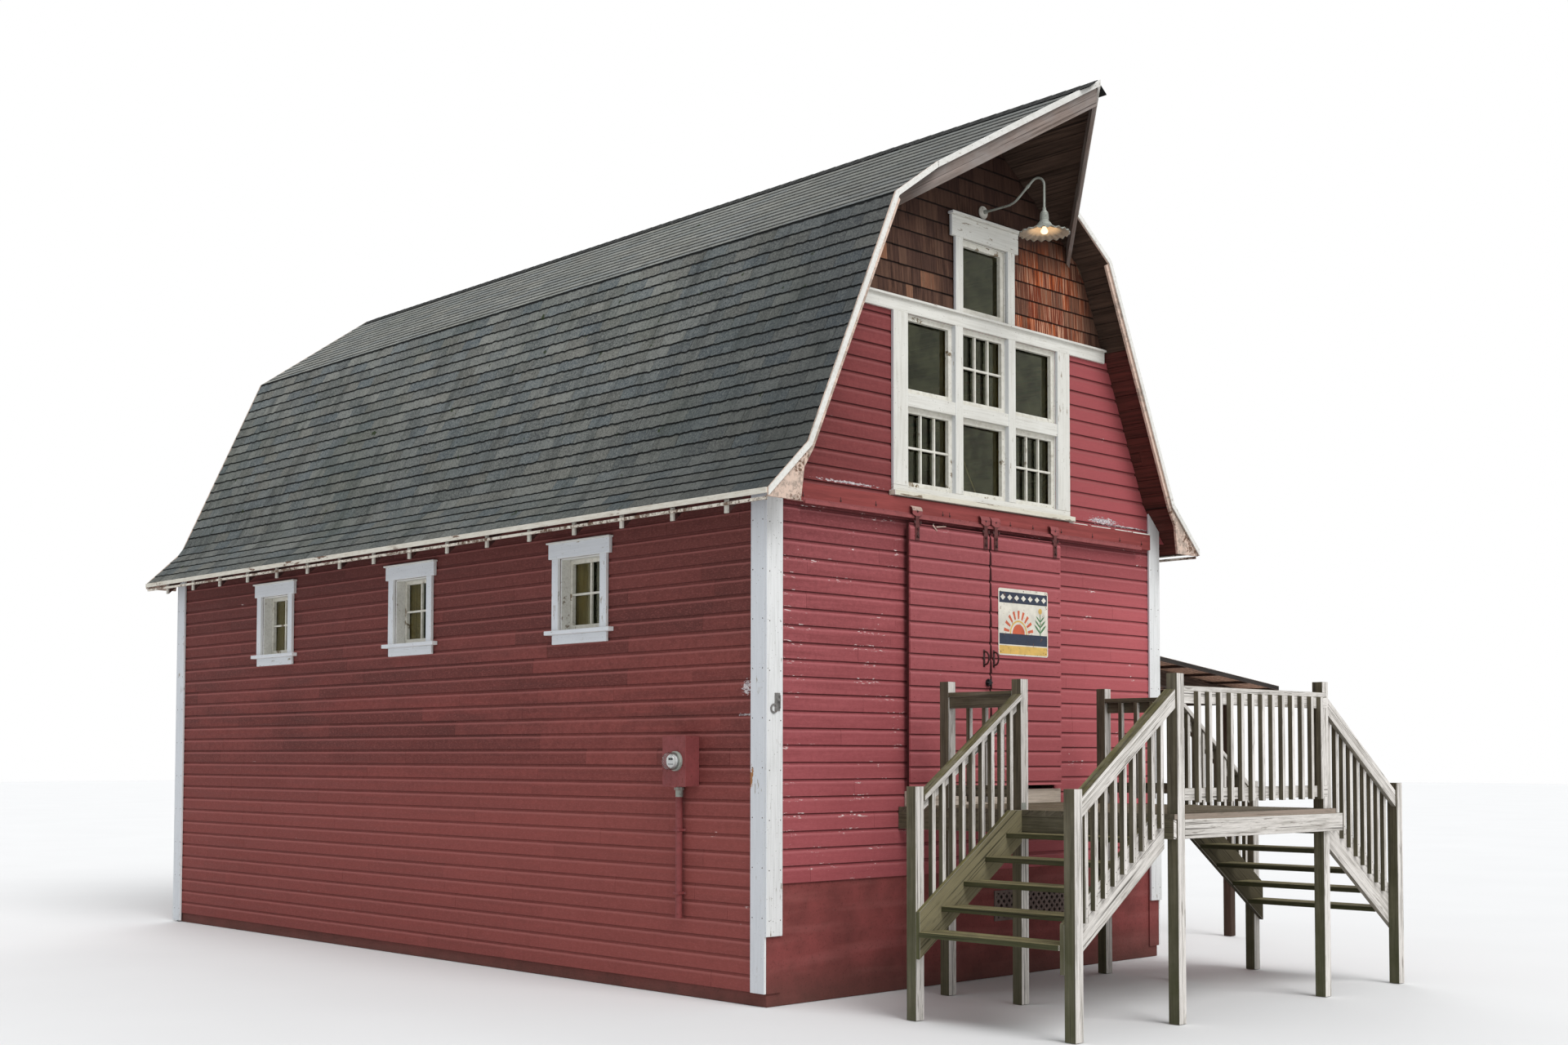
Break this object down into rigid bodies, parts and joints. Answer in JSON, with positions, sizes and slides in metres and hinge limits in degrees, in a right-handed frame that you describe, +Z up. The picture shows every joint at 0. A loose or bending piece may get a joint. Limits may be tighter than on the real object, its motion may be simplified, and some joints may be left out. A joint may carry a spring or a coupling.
{
  "type": "gambrel-roofed barn",
  "caption": "Small red barn with a gambrel roof, prow hood, paired sliding doors, raised deck with steps and a side lean-to.",
  "frame": {"origin": "centre of the foundation's footprint at the lowest ground level", "axes": "+Z up; -Y out of the front wall with the doors; +X to the right seen from the front, towards the lean-to"},
  "size_m": [7.869, 12.909, 7.48],
  "materials": {
    "red_masonry": null,
    "floor_wood": "bare boards",
    "red_siding": "weathered barn-red paint",
    "shingles": "mineral-faced roofing shingles",
    "bare_trim": "weathered grey-pink boards",
    "dark_wood": "dark stained boards",
    "white_trim": "chalky white paint",
    "window_glass": "clear",
    "red_metal": "red paint",
    "black_metal": "black",
    "sign_tin": "worn enamel",
    "galvanised": "dull galvanised",
    "meter_grey": "grey",
    "weathered_wood": "weathered, mossy on top"
  },
  "bodies": {
    "barn": {"foundation": "red_masonry", "floor": "floor_wood", "front_wall_left": "red_siding", "front_wall_right": "red_siding", "front_wall_over_door": "red_siding", "front_wall_under_door": "red_siding", "front_gable": "red_siding", "left_wall": "red_siding", "right_wall": "red_siding", "rear_wall": "red_siding", "rear_gable": "red_siding", "roof_lower_left": "shingles", "roof_lower_right": "shingles", "roof_upper_left": "shingles", "roof_upper_right": "shingles", "hood_fascia": "bare_trim", "hood_timbers": "dark_wood", "rake_boards": "white_trim", "eave_boards": "white_trim", "rafter_tails": "white_trim", "corner_boards": "white_trim", "belt_boards": "white_trim", "gable_window_casing": "white_trim", "gable_window_sashes": "white_trim", "gable_window_glass": "window_glass", "window_casings": "white_trim", "window_sashes": "white_trim", "window_glass": "window_glass", "track_header_board": "red_siding", "door_rail": "red_metal", "lamp_arm": "galvanised", "lamp_shade": "galvanised", "meter_box": "red_metal", "electric_meter": "meter_grey", "corner_latch": "red_metal", "deck_posts": "weathered_wood", "deck_frame": "weathered_wood", "deck_boards": "weathered_wood", "deck_railings": "weathered_wood", "stair_stringers": "weathered_wood", "stair_treads": "weathered_wood", "stair_railings": "weathered_wood", "door_threshold": "weathered_wood", "deck_lattice": "red_siding", "lean_to_roof": "dark_wood", "lean_to_frame": "dark_wood"},
    "left_leaf": {"left_door": "red_siding", "left_door_hangers": "red_metal", "left_door_handle": "red_metal", "door_lock": "black_metal"},
    "right_leaf": {"right_door": "red_siding", "right_door_hangers": "red_metal", "right_door_handle": "red_metal", "tin_sign": "sign_tin"}
  },
  "joints": [
    {"name": "left_door_slide", "type": "slide", "parent": "barn", "child": "left_leaf", "axis": [-1, 0, 0], "range_m": [0, 1]},
    {"name": "right_door_slide", "type": "slide", "parent": "barn", "child": "right_leaf", "axis": [1, 0, 0], "range_m": [0, 1]}
  ]
}
